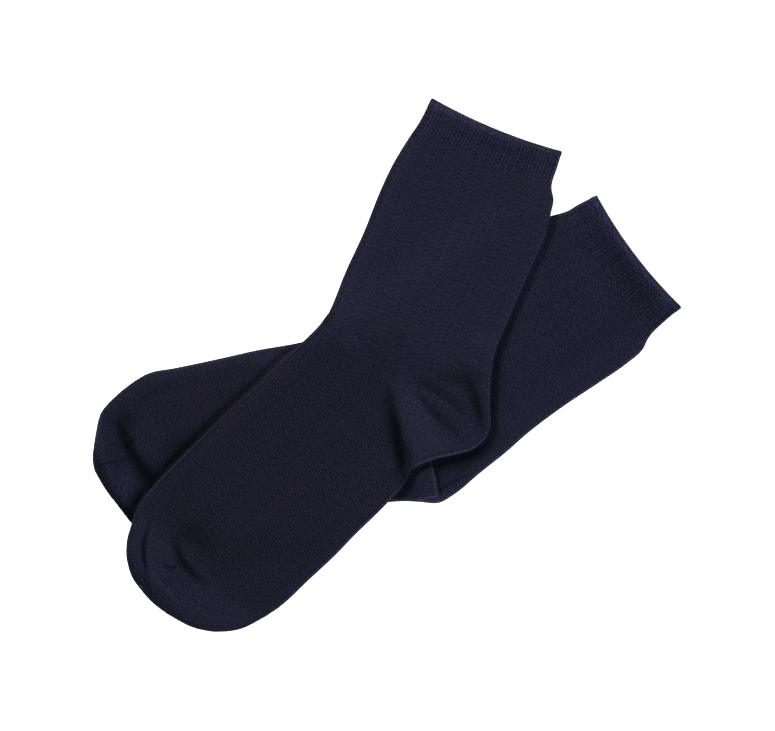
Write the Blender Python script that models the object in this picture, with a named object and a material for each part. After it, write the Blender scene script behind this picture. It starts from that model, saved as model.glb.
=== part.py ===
"""A pair of plain crew socks lying flat, the upper one crossed over the lower.

Each sock is one knitted tube pressed flat: two layers of jersey that meet at
the fold along the instep and at the fold along the heel and sole, with a rib
cuff at the open end, a turned heel and a closed toe. The lower sock lies on
the ground at z = 0. The upper one lies on the ground too, except where it
climbs over the lower one.

Sizes are in millimetres until a mesh is made, which is in metres. +Z is up,
and the origin is on the ground under the middle of the pair.
"""

from typing import NamedTuple

import bmesh
import bpy
import numpy as np

MM = 0.001

# ---------------------------------------------------------------- driving sizes
JERSEY_WALL = 1.2       # one layer of jersey
JERSEY_FLAT = 3.6       # the flattened tube, both layers and the air between them
RIB_WALL = 1.4          # one layer of the rib cuff, between its ribs
RIB_FLAT = 3.8          # the flattened cuff, without its ribs
RIB_HEIGHT = 0.4        # how far a rib stands out
RIBS_A_SIDE = 42        # ribs across one face of the cuff
SEAM_GAP = 0.3          # between the cuff and the leg it is knitted to
LYING_GAP = 0.3         # between the two socks where one lies on the other
CLIMB = 26.0            # how far out the upper sock starts to rise over the lower
CLIMB_MARGIN = 1.0      # it is at full height this far outside the lower one's edge
PRESS_REACH = 6.0       # the lower sock's folds start to flatten this far from the upper one
LEAST_AIR = 0.3         # a crease never presses the two layers closer than this
WALL_REACH = 5.0        # the wall's inner side stays this far clear of the creases around it
TOE_INNER_WIDTH = 16.0  # the hollow ends where it gets narrower than this

JERSEY_COLOUR = (0.016, 0.016, 0.032, 1.0)
RIB_COLOUR = (0.018, 0.018, 0.035, 1.0)


# ----------------------------------------------------------------------- tables
class Row(NamedTuple):
    """A line straight across the flat sock, from its instep fold to its heel or sole fold."""

    instep_x: float
    instep_y: float
    sole_x: float
    sole_y: float
    crown: float  # how far the upper layer stands above flat in the middle
    steps: int    # sections from this row to the next


class CuffRing(NamedTuple):
    """A ring of the cuff, counted from the turned edge."""

    depth: float  # distance from the edge, as a share of the cuff's depth
    rise: float   # of the upper layer
    bow: float    # how far the middle of the ring hangs back towards the toe


class Fold(NamedTuple):
    """A ridge in the upper layer, or a crease where its rise is below zero."""

    start: tuple
    middle: tuple
    end: tuple
    rise: float
    left: float   # how wide it is to the left of its line
    right: float  # and to the right of it


UPPER_ROWS = (
    Row(25.5, 149.5, 98.5, 119.5, 0.2, 1),     # turned edge of the cuff
    Row(18.5, 136.0, 96.0, 111.0, 0.2, 1),
    Row(13.5, 128.5, 92.5, 99.5, 0.2, 1),      # the ribs end
    Row(9.0, 121.5, 93.5, 92.5, 0.5, 1),       # the jersey swells out
    Row(4.0, 113.0, 92.0, 85.0, 0.6, 2),
    Row(-2.5, 99.5, 89.0, 73.0, 0.6, 3),
    Row(-12.5, 74.5, 81.0, 54.5, 0.6, 3),
    Row(-23.5, 50.5, 72.4, 35.0, 0.6, 2),
    Row(-29.5, 35.0, 65.9, 19.9, 0.6, 2),
    Row(-32.0, 29.5, 61.1, 8.0, 0.7, 3),       # bend of the ankle, back of the heel
    Row(-34.5, 26.0, 58.5, -6.0, 0.9, 4),
    Row(-37.0, 22.5, 58.0, -22.0, 1.0, 4),
    Row(-40.5, 18.5, 58.0, -35.0, 1.0, 3),
    Row(-44.5, 14.5, 54.5, -42.0, 1.0, 3),     # tip of the heel
    Row(-48.5, 11.0, 47.5, -47.5, 1.0, 3),
    Row(-52.5, 7.5, 39.0, -50.0, 0.9, 4),
    Row(-57.0, 3.5, 24.5, -53.5, 0.8, 3),
    Row(-61.5, -1.0, 13.5, -59.5, 0.7, 2),     # nick where the heel meets the sole
    Row(-66.0, -5.0, 11.0, -65.0, 0.6, 2),
    Row(-73.5, -12.5, 1.5, -76.0, 0.5, 3),
    Row(-89.0, -26.5, -17.5, -95.0, 0.5, 3),
    Row(-104.0, -41.0, -29.5, -107.5, 0.5, 3),
    Row(-117.5, -54.5, -43.5, -120.5, 0.6, 3),
    Row(-130.0, -68.0, -59.0, -135.0, 0.7, 4),  # ball of the foot
    Row(-139.0, -80.0, -71.0, -143.0, 0.7, 3),
    Row(-143.0, -90.5, -82.0, -148.5, 0.6, 3),
    Row(-145.5, -100.0, -91.5, -150.0, 0.5, 3),
    Row(-145.5, -110.0, -101.0, -149.5, 0.4, 2),
    Row(-142.5, -120.0, -112.5, -146.0, 0.2, 1),
    Row(-138.0, -126.5, -124.0, -139.5, 0.0, 1),  # tip of the toe
)

LOWER_ROWS = (
    Row(118.0, 95.0, 165.5, 32.0, 0.2, 1),     # turned edge of the cuff
    Row(108.0, 90.0, 157.0, 25.0, 0.2, 1),
    Row(99.0, 85.0, 147.0, 15.0, 0.2, 1),      # the ribs end
    Row(91.5, 83.0, 144.0, 9.0, 0.4, 2),      # the jersey swells out
    Row(79.0, 78.0, 134.5, 0.5, 0.5, 2),
    Row(66.0, 70.5, 118.5, -10.5, 0.5, 4),
    Row(45.0, 56.5, 97.5, -24.5, 0.5, 3),
    Row(30.0, 45.5, 79.0, -38.5, 0.5, 2),
    Row(19.0, 37.5, 66.5, -49.5, 0.5, 2),
    Row(12.0, 33.5, 51.5, -61.5, 0.5, 2),      # back of the heel
    Row(5.5, 30.0, 39.0, -72.0, 0.5, 2),
    Row(-1.0, 27.5, 29.0, -77.5, 0.5, 2),      # lip of the tucked heel
    Row(-7.0, 25.0, 19.5, -77.0, 0.5, 2),
    Row(-17.5, 21.5, 10.5, -76.5, 0.5, 2),
    Row(-29.0, 18.0, -3.5, -77.5, 0.5, 2),
    Row(-45.5, 13.0, -24.5, -80.0, 0.5, 4),
    Row(-75.0, 7.5, -54.0, -85.5, 0.5, 3),
    Row(-92.5, 3.5, -73.0, -89.0, 0.5, 3),
    Row(-118.5, -2.0, -96.0, -94.5, 0.6, 2),
    Row(-133.5, -5.0, -110.0, -98.5, 0.7, 3),   # ball of the foot
    Row(-145.0, -12.0, -122.5, -100.0, 0.7, 3),
    Row(-152.0, -18.0, -132.5, -97.5, 0.6, 3),
    Row(-157.0, -23.0, -141.5, -90.5, 0.5, 2),
    Row(-161.0, -29.5, -151.5, -78.0, 0.4, 1),
    Row(-163.0, -37.5, -158.5, -69.0, 0.2, 1),
    Row(-164.5, -46.5, -164.0, -59.5, 0.0, 1),  # tip of the toe
)
CUFF_ROWS = 2  # rows of a table that lie before the seam

UPPER_CUFF = (
    CuffRing(0.0, -0.5, 2.3),
    CuffRing(0.06, 0.3, 2.3),
    CuffRing(0.16, 0.5, 2.2),
    CuffRing(0.3, -0.4, 2.0),
    CuffRing(0.55, 0.2, 1.6),
    CuffRing(1.0, 0.0, 0.6),
)
LOWER_CUFF = (
    CuffRing(0.0, -0.5, 2.8),
    CuffRing(0.05, 0.4, 2.8),
    CuffRing(0.16, 0.6, 2.7),
    CuffRing(0.4, -0.7, 2.4),
    CuffRing(0.68, 0.1, 1.6),
    CuffRing(1.0, 0.0, 0.6),
)

UPPER_FOLDS = (
    Fold((9.8, -12.9), (24.4, -28.0), (45.6, -46.5), 3.2, 6.5, 14.0),   # heel pocket, puffed up
    Fold((36.7, -7.3), (40.0, -22.4), (42.3, -36.4), 1.8, 10.0, 12.0),
    Fold((2.0, -10.6), (8.1, -36.4), (11.5, -72.2), -2.8, 3.6, 5.5),    # crease beside the pocket
    Fold((18.8, -16.7), (29.4, -28.4), (44.5, -40.8), -2.6, 3.4, 3.4),  # creases across the pocket
    Fold((21.6, -12.8), (35.6, -22.8), (56.3, -38.0), 1.4, 3.4, 3.4),
    Fold((19.9, -9.0), (32.2, -17.4), (47.3, -28.6), -2.0, 3.6, 3.4),
    Fold((44.0, -10.1), (51.2, -20.7), (54.6, -36.4), -1.6, 3.2, 3.6),
    Fold((-14.0, 15.5), (-3.6, 4.5), (9.0, -9.0), -1.2, 4.0, 4.0),      # crease at the ankle
    Fold((-32.0, 25.0), (-27.0, 19.0), (-19.0, 15.0), -0.7, 4.0, 4.0),
    Fold((-46.0, 16.0), (-39.0, 16.0), (-31.0, 11.0), 0.6, 5.0, 5.0),
    Fold((-116.9, -97.0), (-110.5, -109.9), (-98.5, -123.3), -1.8, 3.4, 3.4),  # over the toes
    Fold((-113.4, -95.8), (-105.6, -105.3), (-96.6, -114.8), 0.9, 4.5, 4.0),
    Fold((-123.5, -100.8), (-120.1, -113.7), (-110.0, -126.0), 0.9, 6.0, 6.0),  # toe cap behind it
    Fold((-60.0, -30.0), (-44.0, -42.0), (-26.0, -50.0), 0.4, 9.0, 9.0),        # slack of the foot
    Fold((6.0, 96.0), (34.0, 66.0), (70.0, 60.0), 0.4, 10.0, 12.0),             # and of the leg
    Fold((-8.0, 50.0), (20.0, 38.0), (50.0, 30.0), -0.35, 8.0, 8.0),
)
LOWER_FOLDS = (
    Fold((-149.8, -28.6), (-144.2, -45.4), (-132.4, -67.2), -2.0, 3.4, 3.4),    # over the toes
    Fold((-135.8, -21.8), (-124.0, -42.0), (-114.0, -58.2), 1.0, 8.0, 8.0),     # slack beside it
    Fold((-144.8, -56.6), (-143.6, -68.9), (-148.1, -80.1), 1.5, 6.0, 5.0),     # toe cap behind it
    Fold((22.4, -52.0), (26.6, -64.0), (29.0, -78.4), 1.4, 3.0, 12.0),          # lip of the tucked heel
    Fold((31.0, -58.0), (34.0, -66.0), (35.0, -76.0), -0.9, 4.0, 4.0),          # and the step below it
    Fold((66.0, 40.0), (86.0, 26.0), (100.0, -6.0), 0.4, 9.0, 7.0),             # slack of the leg
    Fold((-90.0, -8.0), (-86.0, -30.0), (-94.0, -50.0), -0.4, 9.0, 7.0),        # and of the foot
)


# ----------------------------------------------------------- flat sock geometry
def through(knots, values, where):
    """Values on a smooth cubic curve through the rows of a table."""
    slopes = np.gradient(values, knots, axis=0)
    i = np.clip(np.searchsorted(knots, where, side="right") - 1, 0, len(knots) - 2)
    step = (knots[i + 1] - knots[i])[:, None]
    t = (where - knots[i])[:, None] / step
    return (
        (2 * t**3 - 3 * t**2 + 1) * values[i]
        + (t**3 - 2 * t**2 + t) * step * slopes[i]
        + (3 * t**2 - 2 * t**3) * values[i + 1]
        + (t**3 - t**2) * step * slopes[i + 1]
    )


def distances(rows):
    """How far down the sock each row lies, along the middle of the flat tube."""
    table = np.array(rows, float)
    middle = (table[:, 0:2] + table[:, 2:4]) / 2
    return np.concatenate([[0], np.cumsum(np.linalg.norm(np.diff(middle, axis=0), axis=1))])


def unit(vectors):
    return vectors / np.linalg.norm(vectors, axis=-1, keepdims=True)


def turned_left(vectors):
    return np.stack([-vectors[..., 1], vectors[..., 0]], axis=-1)


class Sections:
    """The flat tube cut across at some distances from its open end."""

    def __init__(self, rows, where):
        knots = distances(rows)
        table = np.array(rows, float)[:, :5]
        at = through(knots, table, where)
        nudge = 0.2
        ahead = through(knots, table, np.minimum(where + nudge, knots[-1]))
        behind = through(knots, table, np.maximum(where - nudge, 0))
        run = ahead - behind
        self.instep = at[:, 0:2]
        self.sole = at[:, 2:4]
        self.crown = at[:, 4]
        # Into the cloth from each fold: the tube runs with its instep on the right hand.
        self.from_instep = turned_left(unit(run[:, 0:2]))
        self.from_sole = -turned_left(unit(run[:, 2:4]))
        across = unit(self.sole - self.instep)
        self.onward = -turned_left(across)


def outline(rows):
    """The flat sock's edge as one closed polygon."""
    knots = distances(rows)
    edge = Sections(rows, np.linspace(0, knots[-1], 160))
    return np.concatenate([edge.instep, edge.sole[::-1]])


def inside_by(polygon, x, y):
    """How far points lie inside a polygon; below zero outside it."""
    a = polygon
    b = np.roll(polygon, -1, axis=0)
    point = np.stack([x, y], axis=-1)[..., None, :]
    side = b - a
    length = np.maximum((side**2).sum(-1), 1e-9)
    t = np.clip(((point - a) * side).sum(-1) / length, 0, 1)
    gap = np.sqrt((((a + t[..., None] * side) - point) ** 2).sum(-1)).min(-1)
    px, py = point[..., 0], point[..., 1]
    spans = (a[:, 1] > py) != (b[:, 1] > py)
    rise = np.where(side[:, 1] == 0, 1e-9, side[:, 1])
    crossing = a[:, 0] + (py - a[:, 1]) * side[:, 0] / rise
    inside = (spans & (px < crossing)).sum(-1) % 2 == 1
    return np.where(inside, gap, -gap)


def eased(t):
    t = np.clip(t, 0, 1)
    return t * t * (3 - 2 * t)


def climb(x, y):
    """Height of the upper sock's underside as it passes over the lower one."""
    full = JERSEY_FLAT + max(row.crown for row in LOWER_ROWS) + LYING_GAP
    out = -inside_by(outline(LOWER_ROWS), x, y) - CLIMB_MARGIN
    return full * (1 - eased(out / CLIMB))


def lying_flat(x, y):
    return np.zeros_like(x)


def uncovered(x, y):
    """1 where the lower sock lies open, 0 where the upper one presses its folds flat."""
    return 1 - eased((inside_by(outline(UPPER_ROWS), x, y) + PRESS_REACH) / PRESS_REACH)


def all_over(x, y):
    return np.ones_like(x)


def relief(folds, x, y):
    """Height that the folds add to the upper layer."""
    total = np.zeros_like(x)
    for fold in folds:
        start, middle, end = (np.array(p, float) for p in fold[:3])
        t = np.linspace(0, 1, 25)
        bend = 2 * middle - (start + end) / 2
        line = (
            np.outer((1 - t) ** 2, start)
            + np.outer(2 * t * (1 - t), bend)
            + np.outer(t**2, end)
        )
        away = np.stack([x, y], axis=-1)[..., None, :] - line
        gap = np.sqrt((away**2).sum(-1))
        nearest = gap.argmin(-1)
        gap = gap.min(-1)
        run = np.gradient(line, axis=0)[nearest]
        off = np.take_along_axis(away, nearest[..., None, None], axis=-2)[..., 0, :]
        on_left = run[..., 0] * off[..., 1] - run[..., 1] * off[..., 0] > 0
        width = np.where(on_left, fold.left, fold.right)
        fade = np.sin(np.pi * np.clip(t[nearest], 0.06, 0.94)) ** 0.6
        total += fold.rise * fade * np.exp(-((gap / width) ** 2))
    return total


def lowest_nearby(height):
    """At each point the lowest that a height comes to around it, so that a wall keeps its thickness."""
    def lowest(x, y, k):
        found = height(x, y, k)
        for turn in np.linspace(0, 2 * np.pi, 8, endpoint=False):
            for out in (WALL_REACH / 2, WALL_REACH):
                found = np.minimum(found, height(x + out * np.cos(turn), y + out * np.sin(turn), k))
        return found
    return lowest


# ---------------------------------------------------------------------- meshing
def rings(cut, inset, low, high, upper, lower, side, bow, extra):
    """Rings of points round the tube, one for each section.

    The rings lie `inset` in from the folds, between the heights low and high.
    Each has `upper` points across its upper face, `lower` across the lower one
    and `side` points round each fold, and starts under the instep. extra gives
    the height added to the upper face.
    """
    radius = (high - low) / 2
    turn = np.radians(np.linspace(-90, 90, side + 2))
    points = []
    for angle in turn:
        into = (inset + radius * (1 - np.cos(angle)))[:, None]
        points.append((cut.instep + cut.from_instep * into, low + radius * (1 + np.sin(angle))))
    left, right = points[-1][0], cut.sole + cut.from_sole * (inset + radius)[:, None]
    width = np.linalg.norm(right - left, axis=1)
    for k in range(1, upper + 1):
        u = k / (upper + 1)
        hang = (bow * 4 * u * (1 - u))[:, None]
        place = left + (right - left) * u + cut.onward * hang
        edge = np.minimum(u, 1 - u) * width
        rise = extra(place[:, 0], place[:, 1], k) * eased(edge / 6)
        rise = rise + cut.crown * (1 - (2 * u - 1) ** 4)
        points.append((place, high + rise))
    for angle in turn[::-1]:
        into = (inset + radius * (1 - np.cos(angle)))[:, None]
        points.append((cut.sole + cut.from_sole * into, low + radius * (1 + np.sin(angle))))
    for k in range(1, lower + 1):
        u = 1 - k / (lower + 1)
        hang = (bow * 4 * u * (1 - u))[:, None]
        points.append((left + (right - left) * u + cut.onward * hang, low))
    flat = np.stack([place for place, _ in points], axis=1)
    height = np.stack([height for _, height in points], axis=1)
    return np.concatenate([flat, height[..., None]], axis=2)


def add_points(bm, points):
    return [[bm.verts.new(p) for p in ring] for ring in points]


def skin(bm, grid):
    """Quads between each ring and the next."""
    for one, two in zip(grid, grid[1:]):
        for k in range(len(one)):
            j = (k + 1) % len(one)
            bm.faces.new((one[k], one[j], two[j], two[k]))


def rim(bm, outer, inner):
    """Joins an outer and an inner ring with unlike numbers of points, from the same start."""
    i = j = 0
    while i < len(outer) or j < len(inner):
        here, there = outer[i % len(outer)], inner[j % len(inner)]
        step_out = outer[(i + 1) % len(outer)]
        step_in = inner[(j + 1) % len(inner)]
        go_out = (step_out.co - there.co).length <= (step_in.co - here.co).length
        if j >= len(inner) or (i < len(outer) and go_out):
            bm.faces.new((here, step_out, there))
            i += 1
        else:
            bm.faces.new((here, step_in, there))
            j += 1


def fan(bm, line, first, last):
    """Triangles from a line of points to the two points in front of its ends."""
    half = len(line) // 2
    for k in range(len(line) - 1):
        bm.faces.new((line[k], line[k + 1], first if k < half else last))
    bm.faces.new((line[half], last, first))


def close_end(bm, ring, upper, side):
    """Closes the last ring from its instep fold across to its other fold."""
    turn = side + 2
    near = ring[:turn]
    top = ring[turn : turn + upper]
    far = ring[turn + upper : 2 * turn + upper]
    bottom = ring[2 * turn + upper :]
    fan(bm, [near[-1], *top, far[0]], near[-2], far[1])
    for k in range(1, side):
        bm.faces.new((near[-1 - k], far[k], far[k + 1], near[-2 - k]))
    fan(bm, [far[-1], *bottom, near[0]], far[-2], near[1])


def finish(name, bm, material):
    bmesh.ops.recalc_face_normals(bm, faces=bm.faces[:])
    mesh = bpy.data.meshes.new(name)
    bm.to_mesh(mesh)
    bm.free()
    mesh.shade_smooth()
    mesh.materials.append(material)
    return bpy.data.objects.new(name, mesh)


# ------------------------------------------------------------------- the pieces
def make_cuff(name, rows, cuff_rings, underside, material):
    """The rib cuff: a short open tube whose ribs run from its turned edge to the leg."""
    depth = distances(rows)[CUFF_ROWS] - SEAM_GAP / 2
    table = np.array(cuff_rings, float)
    cut = Sections(rows, table[:, 0] * depth)
    rim_inset = np.where(table[:, 0] == 0, 0.4, 0.0)
    wave = table[:, 1]
    air = RIB_FLAT - 2 * RIB_WALL
    points_a_rib = 3

    def ribbed(x, y, k):
        crest = 0.0 if k % points_a_rib == 0 else RIB_HEIGHT
        return np.maximum(wave, LEAST_AIR - air) + crest

    def plain(x, y, k):
        return np.maximum(wave, LEAST_AIR - air)

    bm = bmesh.new()
    nothing = np.zeros(len(cut.crown))
    outer = rings(cut, rim_inset, nothing, nothing + RIB_FLAT,
                  RIBS_A_SIDE * points_a_rib - 1, 9, 3, table[:, 2], ribbed)
    inner = rings(cut, rim_inset + RIB_WALL, nothing + RIB_WALL, nothing + RIB_FLAT - RIB_WALL,
                  13, 7, 1, table[:, 2], plain)
    for grid in (outer, inner):
        grid[..., 2] += underside(grid[..., 0], grid[..., 1])
    outer, inner = add_points(bm, outer * MM), add_points(bm, inner * MM)
    skin(bm, outer)
    skin(bm, inner)
    rim(bm, outer[0], inner[0])
    rim(bm, outer[-1], inner[-1])
    return finish(name, bm, material)


def make_body(name, rows, folds, free, first_bow, underside, material):
    """Leg, heel, foot and toe in one: a flat tube open at the cuff and closed at the toe."""
    knots = distances(rows)
    where = np.concatenate([
        np.linspace(knots[i], knots[i + 1], rows[i].steps, endpoint=False)
        for i in range(CUFF_ROWS, len(rows) - 1)
    ] + [[knots[-1]]])
    where[0] += SEAM_GAP / 2
    cut = Sections(rows, where)
    bow = first_bow * (1 - eased((where - where[0]) / 30))
    least = LEAST_AIR - (JERSEY_FLAT - 2 * JERSEY_WALL)

    def folded(x, y, k):
        return np.maximum(relief(folds, x, y) * free(x, y), least)

    upper, lower, side = 25, 11, 3
    bm = bmesh.new()
    nothing = np.zeros(len(where))
    outer = rings(cut, nothing, nothing, nothing + JERSEY_FLAT, upper, lower, side, bow, folded)

    hollow = np.linalg.norm(cut.sole - cut.instep, axis=1) > TOE_INNER_WIDTH + 2 * JERSEY_FLAT
    inner_cut = Sections(rows, where[hollow])
    nothing = nothing[hollow]
    inner = rings(inner_cut, nothing + JERSEY_WALL, nothing + JERSEY_WALL,
                  nothing + JERSEY_FLAT - JERSEY_WALL, 11, 5, 1, bow[hollow], lowest_nearby(folded))
    for grid in (outer, inner):
        grid[..., 2] += underside(grid[..., 0], grid[..., 1])
    outer, inner = add_points(bm, outer * MM), add_points(bm, inner * MM)
    skin(bm, outer)
    skin(bm, inner)
    rim(bm, outer[0], inner[0])
    close_end(bm, outer[-1], upper, side)
    bm.faces.new(inner[-1])
    return finish(name, bm, material)


def knit_material(name, colour, roughness):
    material = bpy.data.materials.new(name)
    material.use_nodes = True
    material.diffuse_color = colour
    shader = material.node_tree.nodes["Principled BSDF"]
    shader.inputs["Base Color"].default_value = colour
    shader.inputs["Roughness"].default_value = roughness
    shader.inputs["Metallic"].default_value = 0.0
    shader.inputs["Sheen Weight"].default_value = 0.3
    return material


def centre_on_origin(objects):
    """Moves the pair, in its meshes, so that its box stands on the middle of the ground."""
    corners = [v.co for piece in objects for v in piece.data.vertices]
    x = (min(c.x for c in corners) + max(c.x for c in corners)) / 2
    y = (min(c.y for c in corners) + max(c.y for c in corners)) / 2
    for piece in objects:
        for vertex in piece.data.vertices:
            vertex.co.x -= x
            vertex.co.y -= y


# -------------------------------------------------------------------- the scene
for thing in list(bpy.data.objects):
    bpy.data.objects.remove(thing)

jersey = knit_material("navy jersey", JERSEY_COLOUR, 0.95)
rib = knit_material("navy rib", RIB_COLOUR, 0.95)

pair = [
    make_cuff("lower_sock_cuff", LOWER_ROWS, LOWER_CUFF, lying_flat, rib),
    make_body("lower_sock_leg_and_foot", LOWER_ROWS, LOWER_FOLDS, uncovered,
              LOWER_CUFF[-1].bow, lying_flat, jersey),
    make_cuff("upper_sock_cuff", UPPER_ROWS, UPPER_CUFF, climb, rib),
    make_body("upper_sock_leg_and_foot", UPPER_ROWS, UPPER_FOLDS, all_over,
              UPPER_CUFF[-1].bow, climb, jersey),
]
centre_on_origin(pair)

collection = bpy.data.collections.new("pair_of_socks")
bpy.context.scene.collection.children.link(collection)
for piece in pair:
    collection.objects.link(piece)
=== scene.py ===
"""The finish of a pair of plain navy crew socks that lie flat and crossed.

Each sock is a thin knitted shell on the form of its solids. Sizes are in
millimetres until a mesh is made. The upper sock lies over the lower one.
"""

from typing import NamedTuple

import bpy
import numpy as np
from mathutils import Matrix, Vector
from mathutils.bvhtree import BVHTree


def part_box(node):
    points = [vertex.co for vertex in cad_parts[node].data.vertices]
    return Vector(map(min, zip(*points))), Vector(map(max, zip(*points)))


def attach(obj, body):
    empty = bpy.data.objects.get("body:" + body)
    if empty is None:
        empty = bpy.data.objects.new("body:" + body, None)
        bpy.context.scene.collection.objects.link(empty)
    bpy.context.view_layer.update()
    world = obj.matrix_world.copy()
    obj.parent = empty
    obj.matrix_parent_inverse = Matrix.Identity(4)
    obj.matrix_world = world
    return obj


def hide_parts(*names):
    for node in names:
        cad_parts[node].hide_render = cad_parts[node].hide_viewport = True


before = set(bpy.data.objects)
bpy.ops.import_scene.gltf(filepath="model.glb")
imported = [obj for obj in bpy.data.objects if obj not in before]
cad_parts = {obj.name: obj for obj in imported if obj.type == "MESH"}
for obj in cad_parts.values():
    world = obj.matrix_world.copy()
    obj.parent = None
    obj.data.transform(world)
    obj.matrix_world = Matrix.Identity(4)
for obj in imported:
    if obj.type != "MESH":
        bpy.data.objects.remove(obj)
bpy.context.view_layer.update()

# --------------------------------------------------------------------- camera
# It looks straight down on the socks, as they are laid out on a table, through
# a long lens that keeps the knit even from one side to the other.
MM = 0.001
VIEW_WIDTH = 434.0    # of cloth that the picture takes in
VIEW_CENTRE = (0.28, -0.28)
CLOTH_LEVEL = 5.0     # height of the cloth that is measured
LENS = 100.0
SENSOR = 36.0


def placed(name, data):
    """An object of the scene that holds some data."""
    piece = bpy.data.objects.new(name, data)
    bpy.context.collection.objects.link(piece)
    return piece


camera = placed("camera", bpy.data.cameras.new("camera"))
camera.data.lens = LENS
camera.data.sensor_width = SENSOR
camera.location = Vector((*VIEW_CENTRE, CLOTH_LEVEL + VIEW_WIDTH * LENS / SENSOR)) * MM
bpy.context.scene.camera = camera

# ------------------------------------------------- the lower sock, leg and foot
# A tube of plain cotton jersey, knitted round on 168 needles and pressed flat.
# The heel pocket is turned by knitting to and fro, and here it is tucked under
# in a small lip. The weight of the other sock presses the middle of it flat.
CUFF_ROWS = 2          # rows of a table that lie before the leg
RING_SPACING = 2.0     # between rings of the mesh


class Row(NamedTuple):
    """A line straight across the flat sock, from its instep fold to its heel or sole fold."""

    instep_x: float
    instep_y: float
    sole_x: float
    sole_y: float
    crown: float  # how far the upper layer stands above flat in the middle


class Fold(NamedTuple):
    """A ridge in the upper layer, a crease where its rise is below zero, or only shade or light painted
    into the colour.
    """

    start: tuple
    middle: tuple
    end: tuple
    rise: float
    shade: float         # shade painted into the colour along it; below zero, painted light
    left: float          # how wide it is to the left of its line
    right: float = 0.0   # and to the right of it, where that differs
    spread: float = 1.0  # how many times wider it is at its end than at its start


LOWER_ROWS = (
    Row(118, 95, 165.5, 32, 0.2),  # turned edge of the cuff
    Row(108, 90, 157, 25, 0.2),
    Row(99, 85, 147, 15, 0.2),  # the ribs end
    Row(91.5, 83, 144, 9, 0.4),
    Row(79, 78, 134.5, 0.5, 0.5),
    Row(66, 70.5, 118.5, -10.5, 0.5),
    Row(45, 56.5, 97.5, -24.5, 0.5),
    Row(30, 45.5, 79, -38.5, 0.5),
    Row(19, 37.5, 66.5, -49.5, 0.5),
    Row(12, 33.5, 51.5, -61.5, 0.5),  # back of the heel
    Row(5.5, 30, 39, -72, 0.5),
    Row(-1, 27.5, 29, -77.5, 0.5),  # lip of the tucked heel
    Row(-7, 25, 19.5, -77, 0.5),
    Row(-17.5, 21.5, 10.5, -76.5, 0.5),
    Row(-29, 18, -3.5, -77.5, 0.5),
    Row(-45.5, 13, -24.5, -80, 0.5),
    Row(-75, 7.5, -54, -85.5, 0.5),
    Row(-92.5, 3.5, -73, -89, 0.5),
    Row(-118.5, -2, -96, -94.5, 0.6),
    Row(-133.5, -5, -110, -98.5, 0.7),  # ball of the foot
    Row(-145, -12, -122.5, -100, 0.7),
    Row(-152, -18, -132.5, -97.5, 0.6),
    Row(-157, -23, -141.5, -90.5, 0.5),
    Row(-161, -29.5, -151.5, -78, 0.4),
    Row(-163, -37.5, -158.5, -69, 0.2),
    Row(-164.5, -46.5, -164, -59.5, 0),  # tip of the toe
)
LOWER_GORE = 11        # the row along which the leg's stitches meet the foot's
LOWER_TOE = 19         # the row from which the toe narrows
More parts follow.
